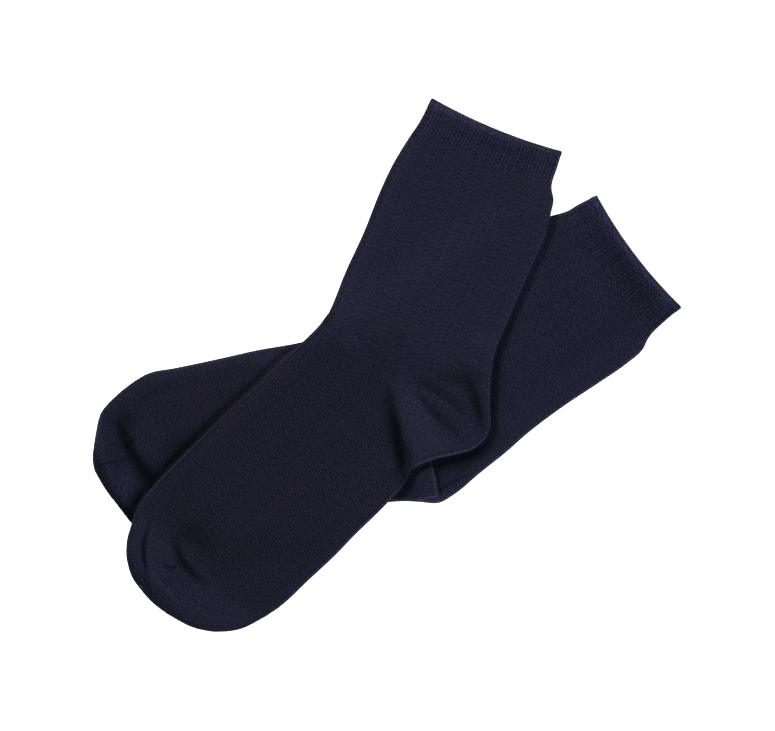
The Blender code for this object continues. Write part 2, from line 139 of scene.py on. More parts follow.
# The shade column paints shade into the colour, in creases and beside the other sock; below zero it paints
# light.
LOWER_FOLDS = (
    Fold((-149.8, -28.6), (-144.2, -45.4), (-132.4, -67.2), -2.3, 0.62, 2.6, 2.2, 1.5),  # over the toes
    Fold((-145, -45.9), (-143.1, -44), (-140.3, -40.9), -1, 0.65, 0.9),
    Fold((-145.8, -43.8), (-142.6, -48.2), (-138.8, -52.8), -1.2, 0.7, 1, 1.2),
    Fold((-138.2, -52), (-133, -61.5), (-127, -68), -1.4, 0.6, 3.8, 4.2),  # hollow at its foot
    Fold((-136.4, -68.3), (-140.8, -78.4), (-144.8, -91.3), 0, 0.35, 4, 5),
    Fold((-84.3, -25.2), (-108.9, -46.5), (-138, -75.6), -0.6, 0.5, 4.4, 4.4, 1.6),  # along the other sock
    Fold((-135.8, -21.8), (-124, -42), (-114, -58.2), 1, 0, 8),  # slack cloth beside the crease
    Fold((-144.8, -56.6), (-143.6, -68.9), (-148.1, -80.1), 1.7, -0.1, 6, 5),  # bulge beside the crease
    Fold((-149.2, -22.4), (-148.1, -44.8), (-143.6, -64.4), 0, 0.3, 9, 11),
    Fold((-162.7, -56.6), (-153.2, -54.9), (-143.1, -52.6), -0.5, 0.25, 0.8),
    Fold((-159.9, -31.9), (-153.7, -39.8), (-150.4, -52.1), 0.5, 0, 4),
    Fold((-158.8, -20.7), (-162.1, -36.4), (-161.6, -54.3), 0, -0.45, 2.6),  # painted highlight along the edge of the toe
    Fold((22.4, -49.8), (26.9, -61), (29.4, -78.4), 1.4, -0.05, 0.5, 13),  # lip of the tucked heel
    Fold((22.4, -49.8), (26.6, -61), (29.1, -78.4), 0, -1.2, 0.5, 0.8),  # painted highlight along the edge of the lip
    Fold((24.4, -51), (28.8, -61), (31.4, -78.4), -1.1, 0.3, 4.5, 1),
    Fold((10.4, -57.7), (13.2, -66.6), (4.2, -76.7), 0, 0.45, 8),
    Fold((28, -70), (31, -75), (38, -72), 0, -0.24, 4),
    Fold((17.1, -75.6), (23.2, -74.8), (30, -73.1), 0.4, -1, 0.8),  # rolled corner of the lip, with a painted highlight
    Fold((23.2, -54.5), (42, -53), (60, -38), -0.5, 0.66, 5.5, 6.2),  # under the other sock's heel
    Fold((28.8, -71.7), (37.2, -66.1), (47.3, -61.6), -0.6, 0.4, 0.9, 1.4),
    Fold((96.5, 86), (86, 57), (72, 25), 0, -0.35, 3, 3.5),  # painted light on the side of the leg open to the light
    Fold((-165, -40), (-163.5, -50), (-161, -60), 0, 0.25, 2.5),
    Fold((-74, 0), (-62, 3), (-50, 12), 0, -0.45, 5),
    Fold((-163.5, -48), (-155.5, -72.5), (-138, -96), 0, 0.64, 4),  # shaded edge of the toe
    Fold((-150, -76), (-145.5, -84), (-141, -92), 0, 0.5, 2.5, 4),
    Fold((-148, -20), (-144.5, -29), (-142, -38), 0, 0.36, 3.5),
    Fold((-142, -28), (-134, -18), (-122, -11), 0, 0.2, 4),
    Fold((-128, -52), (-121, -45), (-112, -38), 0, 0.24, 4),
    Fold((-150, -10), (-95, 3), (-58, 8.5), 0, -0.38, 3.4),  # painted highlight along the edge of the instep
    Fold((62.5, 12), (62.5, -10), (60, -34), 0, 0.38, 3.5),  # beside the other heel
    Fold((103, 76), (112, 55), (126, 28), 0, -0.1, 9),
    Fold((130, -4), (140, 7), (146, 16), 0, -0.2, 3),
    Fold((66, 40), (86, 26), (100, -6), 0.4, 0, 9, 7),
    Fold((-90, -8), (-86, -30), (-94, -50), -0.4, 0, 9, 7),
    Fold((60, -12), (74, -22), (84, -34), -0.3, 0, 5, 6),
)
UPPER_ROWS = (
    Row(25.5, 149.5, 98.5, 119.5, 0.2),  # turned edge of the cuff
    Row(18.5, 136, 96, 111, 0.2),
    Row(13.5, 128.5, 92.5, 99.5, 0.2),  # the ribs end
    Row(9, 121.5, 93.5, 92.5, 0.5),
    Row(4, 113, 92, 85, 0.6),
    Row(-2.5, 99.5, 89, 73, 0.6),
    Row(-12.5, 74.5, 81, 54.5, 0.6),
    Row(-23.5, 50.5, 72.4, 35, 0.6),
    Row(-29.5, 35, 65.9, 19.9, 0.6),
    Row(-32, 29.5, 61.1, 8, 0.7),  # bend of the ankle, back of the heel
    Row(-34.5, 26, 58.5, -6, 0.9),
    Row(-37, 22.5, 58, -22, 1),
    Row(-40.5, 18.5, 58, -35, 1),
    Row(-44.5, 14.5, 54.5, -42, 1),  # tip of the heel
    Row(-48.5, 11, 47.5, -47.5, 1),
    Row(-52.5, 7.5, 39, -50, 0.9),
    Row(-57, 3.5, 24.5, -53.5, 0.8),
    Row(-61.5, -1, 13.5, -59.5, 0.7),  # nick where the heel meets the sole
    Row(-66, -5, 11, -65, 0.6),
    Row(-73.5, -12.5, 1.5, -76, 0.5),
    Row(-89, -26.5, -17.5, -95, 0.5),
    Row(-104, -41, -29.5, -107.5, 0.5),
    Row(-117.5, -54.5, -43.5, -120.5, 0.6),
    Row(-130, -68, -59, -135, 0.7),  # ball of the foot
    Row(-139, -80, -71, -143, 0.7),
    Row(-143, -90.5, -82, -148.5, 0.6),
    Row(-145.5, -100, -91.5, -150, 0.5),
    Row(-145.5, -110, -101, -149.5, 0.4),
    Row(-142.5, -120, -112.5, -146, 0.2),
    Row(-138, -126.5, -124, -139.5, 0),  # tip of the toe
)


def unit(vectors):
    return vectors / np.linalg.norm(vectors, axis=-1, keepdims=True)


def turned_left(vectors):
    return np.stack([-vectors[..., 1], vectors[..., 0]], axis=-1)


def ramp(values, start, end):
    """0 as far as the start, 1 from the end on, and eased between the two."""
    t = np.clip((values - start) / (end - start), 0, 1)
    return t * t * (3 - 2 * t)


def through(knots, values, where):
    """Values on a smooth cubic curve through the rows of a table."""
    slopes = np.gradient(values, knots, axis=0)
    i = np.clip(np.searchsorted(knots, where, side="right") - 1, 0, len(knots) - 2)
    step = (knots[i + 1] - knots[i])[:, None]
    t = (where - knots[i])[:, None] / step
    return (
        (2 * t**3 - 3 * t**2 + 1) * values[i]
        + (t**3 - 2 * t**2 + t) * step * slopes[i]
        + (3 * t**2 - 2 * t**3) * values[i + 1]
        + (t**3 - t**2) * step * slopes[i + 1]
    )


class FlatSock:
    """The rows of a table, joined by smooth curves from the cuff to the toe."""

    def __init__(self, rows):
        self.table = np.array(rows, float)
        middle = (self.table[:, 0:2] + self.table[:, 2:4]) / 2
        steps = np.linalg.norm(np.diff(middle, axis=0), axis=1)
        self.knots = np.concatenate([[0], np.cumsum(steps)])

    def cut(self, where):
        """Sections across the sock at some distances from its open end."""
        at = through(self.knots, self.table, where)
        nudge = 0.2
        ahead = np.minimum(where + nudge, self.knots[-1])
        behind = np.maximum(where - nudge, 0)
        run = through(self.knots, self.table, ahead) - through(self.knots, self.table, behind)
        return Cut(
            instep=at[:, 0:2],
            sole=at[:, 2:4],
            crown=at[:, 4],
            from_instep=turned_left(unit(run[:, 0:2])),
            from_sole=-turned_left(unit(run[:, 2:4])),
            onward=-turned_left(unit(at[:, 2:4] - at[:, 0:2])),
        )

    def outline(self, sections=160):
        """The flat sock's edge as one closed polygon."""
        edge = self.cut(np.linspace(0, self.knots[-1], sections))
        return np.concatenate([edge.instep, edge.sole[::-1]])

    def evenly(self, first, last, crowded, soundings=6000):
        """Distances whose sections lie no further apart than the rings' spacing at either fold.

        crowded has stretches of the sock, each with how many times closer they lie there.
        """
        fine = np.linspace(first, last, soundings)
        edge = self.cut(fine)
        steps = np.maximum(
            np.linalg.norm(np.diff(edge.instep, axis=0), axis=1),
            np.linalg.norm(np.diff(edge.sole, axis=0), axis=1),
        )
        for start, end, times in crowded:
            steps = np.where((fine[1:] > start) & (fine[1:] < end), steps * times, steps)
        run = np.concatenate([[0], np.cumsum(steps)])
        return np.interp(np.linspace(0, run[-1], int(run[-1] / RING_SPACING) + 2), run, fine)


class Cut(NamedTuple):
    """Sections across a flat sock: its two folds, the ways into the cloth, and the way to the toe."""

    instep: np.ndarray
    sole: np.ndarray
    crown: np.ndarray
    from_instep: np.ndarray
    from_sole: np.ndarray
    onward: np.ndarray


def inside_by(polygon, x, y):
    """How far points lie inside a polygon; below zero outside it. One ring of points at a time."""
    a = polygon
    side = np.roll(polygon, -1, axis=0) - a
    length = np.maximum((side**2).sum(-1), 1e-9)
    rise = np.where(side[:, 1] == 0, 1e-9, side[:, 1])
    found = np.empty(x.shape)
    for ring in range(len(x)):
        px, py = x[ring, :, None], y[ring, :, None]
        t = np.clip(((px - a[:, 0]) * side[:, 0] + (py - a[:, 1]) * side[:, 1]) / length, 0, 1)
        off_x = a[:, 0] + t * side[:, 0] - px
        off_y = a[:, 1] + t * side[:, 1] - py
        gap = np.sqrt((off_x**2 + off_y**2).min(-1))
        spans = (a[:, 1] > py) != (a[:, 1] + side[:, 1] > py)
        crossing = a[:, 0] + (py - a[:, 1]) * side[:, 0] / rise
        inside = (spans & (px < crossing)).sum(-1) % 2 == 1
        found[ring] = np.where(inside, gap, -gap)
    return found


BEND_POINTS = 17       # that the line of a crease is followed through


def bent_line(fold):
    """The line of a fold: one smooth bend through its three points."""
    start, middle, end = (np.array(p, float) for p in fold[:3])
    t = np.linspace(0, 1, BEND_POINTS)
    bend = 2 * middle - (start + end) / 2
    return np.outer((1 - t) ** 2, start) + np.outer(2 * t * (1 - t), bend) + np.outer(t**2, end)


def over_folds(folds, x, y, column):
    """What a column of their table, such as rise or shade, comes to at points near the folds."""
    total = np.zeros_like(x)
    for fold in folds:
        line = bent_line(fold)
        reach = 3 * max(fold.left, fold.right) * max(1, fold.spread)
        near = (
            (x > line[:, 0].min() - reach) & (x < line[:, 0].max() + reach)
            & (y > line[:, 1].min() - reach) & (y < line[:, 1].max() + reach)
        )
        px, py = x[near][:, None], y[near][:, None]
        side = np.diff(line, axis=0)
        off_x, off_y = px - line[:-1, 0], py - line[:-1, 1]
        t = np.clip((off_x * side[:, 0] + off_y * side[:, 1]) / (side**2).sum(-1), 0, 1)
        gap = (off_x - t * side[:, 0]) ** 2 + (off_y - t * side[:, 1]) ** 2
        best = gap.argmin(-1)
        each = np.arange(len(best))
        gap = gap[each, best]
        along = (best + t[each, best]) / len(side)
        on_left = side[best, 0] * off_y[each, best] - side[best, 1] * off_x[each, best] > 0
        width = np.where(on_left, fold.left, fold.right or fold.left) * (1 + (fold.spread - 1) * along)
        blunt = np.sin(np.pi * np.clip(along, 0.04, 0.96)) ** 0.6
        total[near] += getattr(fold, column) * blunt * np.exp(-gap / width**2)
    return total


lower_sock = FlatSock(LOWER_ROWS)
upper_sock = FlatSock(UPPER_ROWS)
# The solids are centred over the ground, and the tables are followed by the same move.
CENTRING = np.array([
    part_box("lower_sock_leg_and_foot")[0][0] / MM - lower_sock.outline()[:, 0].min(),
    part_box("upper_sock_cuff")[1][1] / MM - upper_sock.outline()[:, 1].max(),
    0.0,
])


LEAST_AIR = 0.1        # a crease never presses the two layers closer than this
CREASE_EASE = 0.4      # and bottoms out softly over this height
PRESS_REACH = 6.0      # the lower sock's folds flatten this far from the upper one
PRESS_DEPTH = 1.2      # how far it is pushed down close beside the upper one
PRESS_EDGE = 1.5       # from this far outside it
PRESS_FADE = 3.0       # and fading out in this width
PRESS_SHADE = 0.28     # how much shadow is painted on it there
PRESS_SHADOW = 1.8     # in this width
PRESS_SHIFT = (-1.9, 0.6)  # mostly on the side of the instep
DEEPEST_SHADE = 0.84   # where painted shades add up, none gets darker than this


def kept_above(least, rise):
    """Creases bottom out softly near the least rise, where the two layers would meet."""
    ease = CREASE_EASE
    return ease * (np.logaddexp(0, (rise - least) / ease) - np.logaddexp(0, -least / ease))


def lying_flat(x, y):
    return np.zeros_like(x)


def pressed(x, y):
    """How the lower sock's upper layer lies: folded where it is open, flat under the other sock."""
    outside = -inside_by(upper_sock.outline(), x, y)
    beyond = np.maximum(outside - PRESS_EDGE, 0)
    beside = ramp(outside, 0, PRESS_EDGE) * np.exp(-((beyond / PRESS_FADE) ** 2))
    return over_folds(LOWER_FOLDS, x, y, "rise") * ramp(outside, 0, PRESS_REACH) - PRESS_DEPTH * beside


def pressed_shade(x, y):
    """How much shade is painted on the lower sock, in its creases and close beside the other sock's
    instep.
    """
    outside = -inside_by(upper_sock.outline() + np.array(PRESS_SHIFT), x, y)
    beside = np.exp(-((np.maximum(outside, 0) / PRESS_SHADOW) ** 2))
    return np.minimum(over_folds(LOWER_FOLDS, x, y, "shade") + PRESS_SHADE * beside, DEEPEST_SHADE)


WALES = 168            # stitch columns round a sock
FACE_WALES = 80        # of them across a pressed face
FOLD_WALES = 4         # and round each pressed fold
FOLD_REACH = 3.5       # a crease fades out this far from a pressed fold
FOLD_SHOWS = (-40, 20)  # degrees up the fold between which the cloth comes to show
FOLD_HIGHLIT = (78, 43)   # and between which a highlight is painted on it
SOLE_HIGHLIGHT = 1.3        # how strong the painted highlight is along the fold of the heel and the sole
EDGE_HIGHLIGHT = 0.16       # and the painted highlight on the face beside a fold
EDGE_WIDTH = 4.0       # where it fades out in this width


class Tube(NamedTuple):
    """Rings of points round a flat tube, and what is known of each point."""

    points: np.ndarray   # ring, column, xyz
    ahead: np.ndarray    # stitch column of each point, for the faces that follow it on its ring
    behind: np.ndarray   # and for those before it: the two differ only where a gore ends
    away: np.ndarray     # the way straight out of the cloth
    open_up: np.ndarray  # 1 on the upper side, 0 on what lies underneath
    worn: np.ndarray     # highlight painted along the pressed folds


def flat_tube(cut, inset, low, high, columns, bow, extra, narrowed=1.0):
    """Rings round the tube, `inset` in from the folds, between the heights low and high.

    columns has the steps across its upper face, across the lower one and round each
    fold. A ring starts under the instep. narrowed is the share of a face's stitch
    columns that a ring still has: those of a toe end along its sides.
    """
    face, base, turned = columns
    radius = (high - low) / 2
    middle = (high + low) / 2
    left = cut.instep + cut.from_instep * (inset + radius)[:, None]
    right = cut.sole + cut.from_sole * (inset + radius)[:, None]
    width = np.linalg.norm(right - left, axis=1)
    half = FACE_WALES / 2 * narrowed + 0 * radius
    over_middle, under_middle = FOLD_WALES + FACE_WALES / 2, WALES - FACE_WALES / 2
    steps = []

    # A point's last number is the highlight painted into its colour, where the fuzz of a fold catches the
    # light.
    def add(place, height, wale, out, up, show, highlight):
        each = 0 * radius
        way = np.column_stack([out, up + each])
        steps.append((place, height, wale + each, way, show + each, highlight + each))

    def add_fold(edge, into, degrees, first_wale, highlight):
        for k, degree in enumerate(degrees):
            a = np.radians(degree)
            add(edge + into * (inset + radius * (1 - np.cos(a)))[:, None],
                middle + radius * np.sin(a), first_wale + FOLD_WALES * k / turned,
                -into * np.cos(a), np.sin(a),
                ramp(degree, *FOLD_SHOWS), EDGE_HIGHLIGHT + highlight * ramp(abs(degree), *FOLD_HIGHLIT))

    def add_face(share, level, wale, up):
        hang = (bow * 4 * share * (1 - share))[:, None]
        from_fold = min(share, 1 - share) * width
        add(left + (right - left) * share + cut.onward * hang, level, wale, 0 * left, up, max(up, 0),
            EDGE_HIGHLIGHT * np.exp(-((from_fold / EDGE_WIDTH) ** 2)))

    turn = np.linspace(-90, 90, turned + 1)
    across = np.linspace(0, 1, face + 1)[1:-1]
    add_fold(cut.instep, cut.from_instep, turn, over_middle - half - FOLD_WALES, 0)
    for u in across:
        add_face(u, middle + radius, over_middle + half * (2 * u - 1), 1)
    add_fold(cut.sole, cut.from_sole, turn[::-1], over_middle + half, SOLE_HIGHLIGHT)
    for u in np.linspace(1, 0, base + 1)[1:-1]:
        add_face(u, middle - radius, under_middle - half * (2 * u - 1), -1)

    flat, height, ahead, ways, shows, worn = (np.stack(values, axis=1) for values in zip(*steps))
    behind = ahead.copy()
    ahead[:, -base] = under_middle - half
    behind[:, 0] = under_middle + half
    top = slice(turned + 1, turned + face)
    inwards = np.minimum(across, 1 - across) * width[:, None]
    rise = extra(flat[:, top, 0], flat[:, top, 1]) * ramp(inwards, 0, FOLD_REACH)
    rise += cut.crown[:, None] * (1 - (2 * across - 1) ** 4)
    height[:, top] += rise * ramp(radius / radius.max(), 1 / 3, 1)[:, None]
    return Tube(np.dstack([flat, height]), ahead, behind, ways, shows, worn)


def lifted(points, underside):
    """The points, raised by as much as what lies under the sock holds it up."""
    height = points[..., 2] + underside(points[..., 0], points[..., 1])
    return np.dstack([points[..., :2], height])


def length_along(points, onward=None):
    """How far down the cloth each point lies on its own column, or only onward, where that is given."""
    steps = np.diff(points, axis=0)
    if onward is not None:
        along = (steps[..., :2] * onward[1:, None]).sum(-1)
        steps = np.stack([along, steps[..., 2]], axis=-1)
    run = np.cumsum(np.linalg.norm(steps, axis=2), axis=0)
    return np.concatenate([np.zeros((1, points.shape[1])), run])


def lowest_nearby(height, reach):
    """A smoothed-down copy of a height: at each point the lowest that it comes to within reach."""
    def lowest(x, y):
        found = height(x, y)
        for turn in np.linspace(0, 2 * np.pi, 12, endpoint=False):
            for out in (reach / 2, reach):
                found = np.minimum(found, height(x + out * np.cos(turn), y + out * np.sin(turn)))
        return found
    return lowest


COURSE = 0.8           # height of one row of stitches


class Shell:
    """A mesh in the making: its points, the way out at each, faces, knit map and point numbers."""

    def __init__(self):
        self.points, self.ways, self.faces, self.map, self.rims = [], [], [], [], []
        self.numbers = {}
        self.count = 0

    def add_points(self, points, away, **numbers):
        """Adds rings of points and returns their indices. Each number is one for each point."""
        rings, columns = points.shape[:2]
        ids = self.count + np.arange(rings * columns).reshape(rings, columns)
        self.count += rings * columns
        self.points.append(points.reshape(-1, 3))
        self.ways.append(away.reshape(-1, 3))
        for name, value in numbers.items():
            spread = np.broadcast_to(value, (rings, columns)).reshape(-1)
            self.numbers.setdefault(name, []).append(spread)
        return ids

    def add_skin(self, ids, ahead, behind, run, outward=True, grid=None):
        """Quads between each ring and the next. run is how far down the cloth each point lies.

        grid has the column and row of stitches at points of a straight stretch, and no
        number elsewhere. Faces that lie wholly in the stretch follow it.
        """
        def corners_of(here, beside):
            beside = np.roll(beside, -1, axis=1)
            return [here[:-1], here[1:], beside[1:], beside[:-1]]

        corners = corners_of(ids, ids)
        course = run / COURSE
        knit = corners_of(np.dstack([ahead, course]), np.dstack([behind, course]))
        if grid is not None:
            even = corners_of(grid, grid)
            known = np.isfinite(sum(even))
            knit = [np.where(known, new, old) for new, old in zip(even, knit)]
        if not outward:
            corners, knit = corners[::-1], knit[::-1]
        self.faces.extend(np.stack(corners, axis=-1).reshape(-1, 4).tolist())
        self.map.append(np.stack(knit, axis=-2).reshape(-1, 2))

    def add_rim(self, faces):
        """Faces across a wall's thickness, with crisp edges. They take no place on the knit map."""
        self.rims.extend(range(len(self.faces), len(self.faces) + len(faces)))
        self.faces.extend(faces)
        self.map.append(np.zeros((sum(len(f) for f in faces), 2)))

    def make(self, name):
        """The mesh object, in metres and in its place, with smooth shading."""
        points = (np.concatenate(self.points) + CENTRING) * MM
        mesh = bpy.data.meshes.new(name)
        mesh.from_pydata(points.tolist(), [], self.faces)
        layer = mesh.uv_layers.new(name="knit")
        layer.uv.foreach_set("vector", np.concatenate(self.map).astype(np.float32).ravel())
        away = mesh.attributes.new("away", "FLOAT_VECTOR", "POINT")
        away.data.foreach_set("vector", np.concatenate(self.ways).astype(np.float32).ravel())
        for number, values in self.numbers.items():
            attribute = mesh.attributes.new(number, "FLOAT", "POINT")
            attribute.data.foreach_set("value", np.concatenate(values).astype(np.float32))
        mesh.shade_smooth()
        for face in self.rims:
            mesh.polygons[face].use_smooth = False
            for corner in mesh.polygons[face].loop_indices:
                mesh.edges[mesh.loops[corner].edge_index].use_edge_sharp = True
        return placed(name, mesh)


def laced(one, two, points):
    """Triangles between two lines of points, each from its start to its end."""
    faces = []
    i = j = 0
    while i < len(one) - 1 or j < len(two) - 1:
        here, there = one[i], two[j]
        reach_one = reach_two = np.inf
        if i < len(one) - 1:
            reach_one = np.linalg.norm(points[one[i + 1]] - points[there])
        if j < len(two) - 1:
            reach_two = np.linalg.norm(points[two[j + 1]] - points[here])
        if reach_one <= reach_two:
            i += 1
            face = (here, one[i], there)
        else:
            j += 1
            face = (here, two[j], there)
        if len(set(face)) == 3:
            faces.append(face)
    return faces


def lips(ring, face, turned):
    """The upper and the lower half of a ring, from the instep fold to the other fold."""
    ring = ring.tolist()
    start, end = turned // 2, turned + face + turned // 2
    return ring[start : end + 1], ring[start::-1] + ring[:end - 1:-1]


WALE = 1.185           # width of one column on a flat foot
JERSEY_WALL = 0.9      # one layer of jersey
JERSEY_FLAT = 3.6      # the flattened tube
SEAM_BOW = 0.6         # how far the ribs' last row hangs back in the middle
BOW_REACH = 30.0       # and how far down the leg that shows
TOE_BOW = 0.9          # how far the toe's middle stands out at its end
TOE_END = 8.0          # over this stretch, where its columns flatten too
FLAT_END = 3.0         # they are flat this far before the end
CLOSING_TURNS = (20, 40, 58, 72, 84)  # degrees by which the rings round the toe's end close up
HEEL_START = 10.0      # how far before the gore's row the foot's stitches begin at the instep
HEEL_DEPTH = 55.0      # how much later they begin at the sole
HEEL_SHARE = 0.35      # share of the way to the sole from which they begin later
HEEL_MERGE = 8.0       # half the stretch where the leg's knit turns into the foot's
CAP_MERGE = (-3.0, 6.0)   # the stretch by the second row of the toe where the foot's ends
CAP_CLEAR = 0.75       # how much of it is gone on the toe cap
GRID_STEP = (0.25, 0.55)  # columns crossed from ring to ring between which straight columns flatten
FINE_COLUMNS = (FACE_WALES * 4, FACE_WALES // 2, FOLD_WALES * 3)  # upper face, lower face, each fold
INNER_COLUMNS = (40, 20, 2)  # the same on the wall's inner side
INNER_RINGS = 5        # outer rings for each ring inside
INNER_WIDTH = 24.0     # the inside ends where the sock gets narrower than this
INNER_REACH = 5.0      # the inside follows the lowest cloth within this distance


def body_shell(sock, gore, toe, extra, shade, underside, crowded, clear, straight=None):
    """Leg, heel, foot and toe in one shell, open at the cuff and closed at the toe.

    gore and toe are the rows where the heel's stitches turn and where the toe begins.
    clear is how well the stitch columns show on the leg and on the foot.
    straight is the way to the toe that a foot's columns take if they run straight.
    """
    face, _, turned = FINE_COLUMNS
    radius = JERSEY_FLAT / 2
    seam, heel, toes, cap, end = sock.knots[[CUFF_ROWS, gore, toe, toe + 1, -1]]
    where = sock.evenly(seam, end - radius, crowded)
    tip = np.radians(CLOSING_TURNS)
    close = np.concatenate([np.zeros(len(where)), tip])
    where = np.concatenate([where, end - radius + radius * np.sin(tip)])
    cut = sock.cut(where)
    none = np.zeros(len(where))
    bow = SEAM_BOW * ramp(where, seam + BOW_REACH, seam) + TOE_BOW * ramp(where, end - TOE_END, end)
    least = LEAST_AIR - (JERSEY_FLAT - 2 * JERSEY_WALL)
    full_width = np.linalg.norm(cut.sole - cut.instep, axis=1)
    width = full_width - 2 * radius
    toe_ring = int(np.searchsorted(where, toes))
    narrowed = np.where(np.arange(len(where)) < toe_ring, 1, width / width[toe_ring])

    def folded(x, y):
        return kept_above(least, extra(x, y))

    low = radius * (1 - np.cos(close))
    tube = flat_tube(cut, none, low, JERSEY_FLAT - low, FINE_COLUMNS, bow, folded, narrowed)
    run = length_along(tube.points)
    toe_run = length_along(tube.points[toe_ring:], cut.onward[toe_ring:])
    points = lifted(tube.points, underside)
    from_instep = (tube.ahead[0] - FOLD_WALES) / FACE_WALES
    from_instep = np.minimum(from_instep, WALES / FACE_WALES - from_instep)
    later = np.clip((from_instep - HEEL_SHARE) / (1 - HEEL_SHARE), 0, 1)
    foot_starts = heel - HEEL_START + HEEL_DEPTH * later

    on_cap = ramp(where, cap + CAP_MERGE[0], cap + CAP_MERGE[1])[:, None]
    foot = ramp(where[:, None] - foot_starts, -HEEL_MERGE, HEEL_MERGE) * (1 - CAP_CLEAR * on_cap)
    clear = clear[0] + (clear[1] - clear[0]) * foot
    closing = close[:, None, None]
    onward = np.column_stack([cut.onward, none])[:, None]
    around = tube.ahead
    grid = np.full((*around.shape, 2), np.nan)
    relief = tube.open_up * clear * ramp(where, end - FLAT_END, end - TOE_END)[:, None]
    if straight is not None:
        onwards = np.array(straight)
        here = foot > 0.5
        here[:, : turned + 1] = False
        here[:, turned + face :] = False
        grid[here, 0] = points[here, :2] @ turned_left(onwards) / WALE
        grid[here, 1] = points[here, :2] @ onwards / COURSE
        around = np.where(here, grid[..., 0], around)
        passed = np.abs(np.diff(around, axis=0, prepend=around[:1]))
        relief = relief * (1 - ramp(passed, *GRID_STEP))
    shell = Shell()
    ids = shell.add_points(
        points,
        tube.away * np.cos(closing) + onward * np.sin(closing),
        around=around,
        raised=relief,
        worn=tube.worn * (1 - on_cap),
        hollow=shade(points[..., 0], points[..., 1]) * tube.open_up,
        foot=foot,
        clear=clear,
    )
    turn = int(np.searchsorted(where, heel))
    leg, below, tip_on = slice(0, turn + 1), slice(turn, toe_ring + 1), slice(toe_ring, None)
    for part, down in ((leg, run[leg]), (below, (run - run[-1:])[below]), (tip_on, toe_run)):
        shell.add_skin(ids[part], tube.ahead[part], tube.behind[part], down, grid=grid[part])

    wide = full_width > INNER_WIDTH
    wide[-len(tip) :] = False
    kept = np.flatnonzero(wide)[::INNER_RINGS]
    inset = np.full(len(kept), JERSEY_WALL)
    inner = flat_tube(Cut(*(values[kept] for values in cut)), inset, inset, JERSEY_FLAT - inset,
                      INNER_COLUMNS, bow[kept], lowest_nearby(folded, INNER_REACH))
    inside = lifted(inner.points, underside)
    inner_ids = shell.add_points(inside, inner.away, around=0, raised=0, worn=0, hollow=0, foot=0, clear=0)
    shell.add_skin(inner_ids, inner.ahead, inner.behind, length_along(inside), outward=False)

    everything = np.concatenate(shell.points)
    rim, inner_rim = ids[0].tolist(), inner_ids[0].tolist()
    shell.add_rim(laced(rim + rim[:1], inner_rim + inner_rim[:1], everything))
    upper, lower = lips(ids[-1], face, turned)
    shell.add_rim(laced(lower, upper, everything))
    upper, lower = lips(inner_ids[-1], INNER_COLUMNS[0], INNER_COLUMNS[2])
    shell.add_rim(laced(upper, lower, everything))
    return shell


class Wire:
    """A socket of a node tree. Sums and products of wires become Math nodes."""

    def __init__(self, tree, socket=None):
        self.tree = tree
        self.socket = socket

    def node(self, kind, inputs=None, output=0, **settings):
        """A new node: its settings come first, then the values or wires of its sockets."""
        made = self.tree.nodes.new(kind)
        for name, value in settings.items():
            setattr(made, name, value)
        feed(made, inputs or {})
        return Wire(self.tree, made.outputs[output])

    def maths(self, operation, *values):
        return self.node("ShaderNodeMath", dict(enumerate(values)), operation=operation)


for sign, operation in (
    ("add", "ADD"), ("sub", "SUBTRACT"), ("mul", "MULTIPLY"), ("truediv", "DIVIDE"), ("pow", "POWER"),
):
    setattr(Wire, f"__{sign}__", lambda a, b, o=operation: a.maths(o, a, b))
    setattr(Wire, f"__r{sign}__", lambda a, b, o=operation: a.maths(o, b, a))


def feed(node, inputs):
    """Gives the sockets of a node their values, or links wires to them."""
    for name, value in inputs.items():
        if isinstance(value, Wire):
            value.tree.links.new(value.socket, node.inputs[name])
        else:
            node.inputs[name].default_value = value


def new_tree(name, **sockets):
    """A Geometry Nodes tree with named inputs, and the wires that come from them."""
    tree = bpy.data.node_groups.new(name, "GeometryNodeTree")
    for socket, kind in sockets.items():
        tree.interface.new_socket(
            socket.replace("_", " "), in_out="INPUT", socket_type="NodeSocket" + kind)
    tree.interface.new_socket("Geometry", in_out="OUTPUT", socket_type="NodeSocketGeometry")
    given = tree.nodes.new("NodeGroupInput")
    return tree, [Wire(tree, socket) for socket in given.outputs[: len(sockets)]]


def closed_tree(tree, geometry, material):
    """The tree, ended: what comes out is real geometry with its material."""
    real = geometry.node("GeometryNodeRealizeInstances", {"Geometry": geometry})
    finished = real.node("GeometryNodeSetMaterial", {"Geometry": real, "Material": material})
    feed(tree.nodes.new("NodeGroupOutput"), {0: finished})
    return tree


def raised_ridges():
    """A Geometry Nodes tree that raises one rounded ridge for so many stitch columns."""
    tree, (geometry, per_ridge, height, where, cloth) = new_tree(
        "raised_ridges", Geometry="Geometry", Wales_in_a_ridge="Float", Height="Float",
        Where="String", Cloth="Material")
    base = Wire(tree)
    around, mask, away = (
        base.node("GeometryNodeInputNamedAttribute", {"Name": name}, data_type=kind)
        for name, kind in (("around", "FLOAT"), (where, "FLOAT"), ("away", "FLOAT_VECTOR"))
    )
    turn = around / per_ridge * (2 * np.pi)
    crest = (0.5 - 0.5 * base.maths("COSINE", turn)) ** 0.8
    rise = base.node("ShaderNodeVectorMath", {"Vector": away, "Scale": crest * mask * height},
                     operation="SCALE")
    moved = base.node("GeometryNodeSetPosition", {"Geometry": geometry, "Offset": rise})
    return closed_tree(tree, moved, cloth)


def plain_mesh(piece):
    """What a piece comes to with its modifiers, as a mesh of its own."""
    graph = bpy.context.evaluated_depsgraph_get()
    return bpy.data.meshes.new_from_object(piece.evaluated_get(graph))


